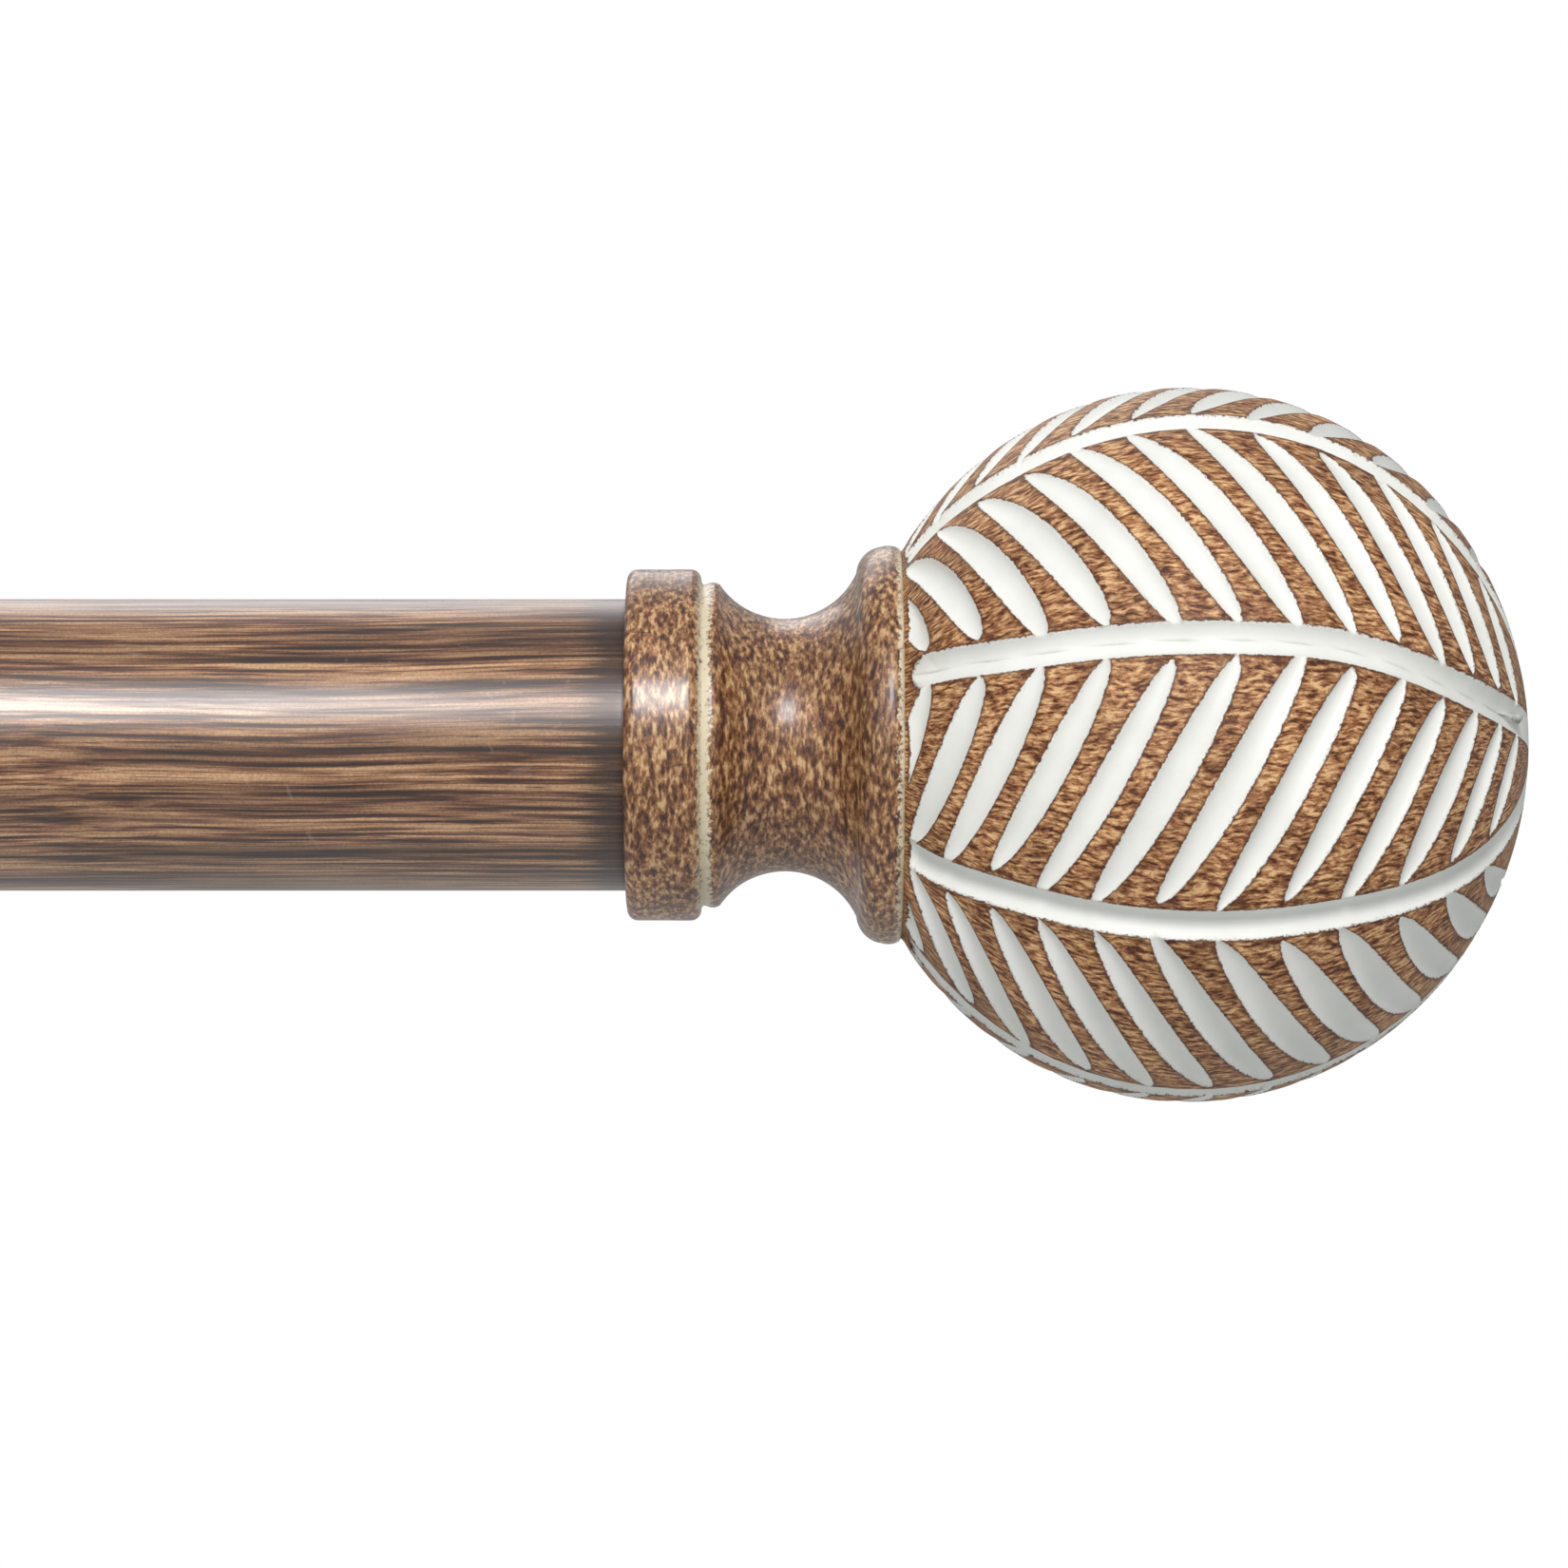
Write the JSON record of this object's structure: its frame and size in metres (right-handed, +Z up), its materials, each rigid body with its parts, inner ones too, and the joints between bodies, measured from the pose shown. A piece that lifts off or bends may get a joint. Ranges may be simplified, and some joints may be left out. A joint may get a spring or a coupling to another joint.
{
  "type": "curtain rod with brackets",
  "caption": "Telescoping round curtain rod with carved ball finials, carried in open cradles on two adjustable wall brackets.",
  "frame": {"origin": "centre of the right wall plate's back face, on the wall", "axes": "+X along the rod to its right end, +Y out of the room into the wall, +Z up"},
  "size_m": [0.8799, 0.1524, 0.066],
  "materials": {
    "faux_wood": "satin",
    "painted_wood": "satin",
    "bronze_paint": "satin",
    "zinc_steel": "satin",
    "brown_plastic": "matte",
    "grey_plastic": "matte"
  },
  "bodies": {
    "wall_side": {"right_wall_plate": "zinc_steel", "right_wall_screws": "zinc_steel", "right_wall_anchors": "grey_plastic", "right_sleeve": "bronze_paint", "right_sleeve_screw": "zinc_steel", "left_wall_plate": "zinc_steel", "left_wall_screws": "zinc_steel", "left_wall_anchors": "grey_plastic", "left_sleeve": "bronze_paint", "left_sleeve_screw": "zinc_steel"},
    "right_cover_body": {"right_cover": "bronze_paint"},
    "right_arm_body": {"right_arm": "bronze_paint", "right_cup": "bronze_paint", "right_cup_screw": "zinc_steel"},
    "right_arm_screw_body": {"right_arm_screw": "zinc_steel"},
    "right_arm_knob_body": {"right_arm_screw_knob": "bronze_paint"},
    "right_rod_screw_body": {"right_rod_screw": "zinc_steel"},
    "right_rod_knob_body": {"right_rod_screw_knob": "bronze_paint"},
    "left_cover_body": {"left_cover": "bronze_paint"},
    "left_arm_body": {"left_arm": "bronze_paint", "left_cup": "bronze_paint", "left_cup_screw": "zinc_steel"},
    "left_arm_screw_body": {"left_arm_screw": "zinc_steel"},
    "left_arm_knob_body": {"left_arm_screw_knob": "bronze_paint"},
    "left_rod_screw_body": {"left_rod_screw": "zinc_steel"},
    "left_rod_knob_body": {"left_rod_screw_knob": "bronze_paint"},
    "outer_rod": {"outer_tube": "faux_wood", "tube_mouth_bush": "brown_plastic", "right_tube_plug": "brown_plastic", "right_plug_insert": "zinc_steel"},
    "inner_rod": {"inner_tube": "faux_wood", "inner_tube_glide": "brown_plastic", "end_adaptor": "faux_wood", "left_tube_plug": "brown_plastic", "left_plug_insert": "zinc_steel"},
    "right_stud_body": {"right_finial_stud": "zinc_steel"},
    "right_finial_body": {"right_finial": "painted_wood"},
    "left_stud_body": {"left_finial_stud": "zinc_steel"},
    "left_finial_body": {"left_finial": "painted_wood"}
  },
  "joints": [
    {"name": "right_cover_slide", "type": "slide", "parent": "wall_side", "child": "right_cover_body", "axis": [0, -1, 0], "range_m": [0, 0.02]},
    {"name": "left_cover_slide", "type": "slide", "parent": "wall_side", "child": "left_cover_body", "axis": [0, -1, 0], "range_m": [0, 0.02]},
    {"name": "right_arm_slide", "type": "slide", "parent": "wall_side", "child": "right_arm_body", "axis": [0, -1, 0], "range_m": [0, 0.0254]},
    {"name": "left_arm_slide", "type": "slide", "parent": "wall_side", "child": "left_arm_body", "axis": [0, -1, 0], "range_m": [0, 0.0254]},
    {"name": "rod_lift", "type": "slide", "parent": "right_arm_body", "child": "outer_rod", "axis": [0, 0, 1], "range_m": [0, 0.035]},
    {"name": "rod_extend", "type": "slide", "parent": "outer_rod", "child": "inner_rod", "axis": [-1, 0, 0], "range_m": [0, 0.508]},
    {"name": "right_arm_screw_travel", "type": "slide", "parent": "wall_side", "child": "right_arm_screw_body", "axis": [0, 0, -1], "range_m": [0, 0.0028]},
    {"name": "right_arm_knob_turn", "type": "hinge", "parent": "right_arm_screw_body", "child": "right_arm_knob_body", "pos_m": [0, -0.05, 0], "axis": [0, 0, -1], "range_deg": [0, 1440]},
    {"name": "right_rod_screw_travel", "type": "slide", "parent": "right_arm_body", "child": "right_rod_screw_body", "axis": [0, -1, 0], "range_m": [0, 0.0028]},
    {"name": "right_rod_knob_turn", "type": "hinge", "parent": "right_rod_screw_body", "child": "right_rod_knob_body", "pos_m": [0, -0.0889, 0], "axis": [0, -1, 0], "range_deg": [0, 1440]},
    {"name": "left_arm_screw_travel", "type": "slide", "parent": "wall_side", "child": "left_arm_screw_body", "axis": [0, 0, -1], "range_m": [0, 0.0028]},
    {"name": "left_arm_knob_turn", "type": "hinge", "parent": "left_arm_screw_body", "child": "left_arm_knob_body", "pos_m": [-0.5, -0.05, 0], "axis": [0, 0, -1], "range_deg": [0, 1440]},
    {"name": "left_rod_screw_travel", "type": "slide", "parent": "left_arm_body", "child": "left_rod_screw_body", "axis": [0, -1, 0], "range_m": [0, 0.0028]},
    {"name": "left_rod_knob_turn", "type": "hinge", "parent": "left_rod_screw_body", "child": "left_rod_knob_body", "pos_m": [-0.5, -0.0889, 0], "axis": [0, -1, 0], "range_deg": [0, 1440]},
    {"name": "right_stud_travel", "type": "slide", "parent": "outer_rod", "child": "right_stud_body", "axis": [1, 0, 0], "range_m": [0, 0.012]},
    {"name": "right_finial_turn", "type": "hinge", "parent": "right_stud_body", "child": "right_finial_body", "pos_m": [0.1, -0.0889, 0], "axis": [1, 0, 0], "range_deg": [0, 3456]},
    {"name": "left_stud_travel", "type": "slide", "parent": "inner_rod", "child": "left_stud_body", "axis": [-1, 0, 0], "range_m": [0, 0.012]},
    {"name": "left_finial_turn", "type": "hinge", "parent": "left_stud_body", "child": "left_finial_body", "pos_m": [-0.62, -0.0889, 0], "axis": [-1, 0, 0], "range_deg": [0, 3456]}
  ],
  "couplings": [
    {"joint": "left_arm_slide", "follows": "right_arm_slide", "ratio": 1},
    {"joint": "right_arm_screw_travel", "follows": "right_arm_knob_turn", "m_per_rad": 0.00011141},
    {"joint": "right_rod_screw_travel", "follows": "right_rod_knob_turn", "m_per_rad": 0.00011141},
    {"joint": "left_arm_screw_travel", "follows": "left_arm_knob_turn", "m_per_rad": 0.00011141},
    {"joint": "left_rod_screw_travel", "follows": "left_rod_knob_turn", "m_per_rad": 0.00011141},
    {"joint": "right_stud_travel", "follows": "right_finial_turn", "m_per_rad": 0.00019894},
    {"joint": "left_stud_travel", "follows": "left_finial_turn", "m_per_rad": 0.00019894}
  ]
}
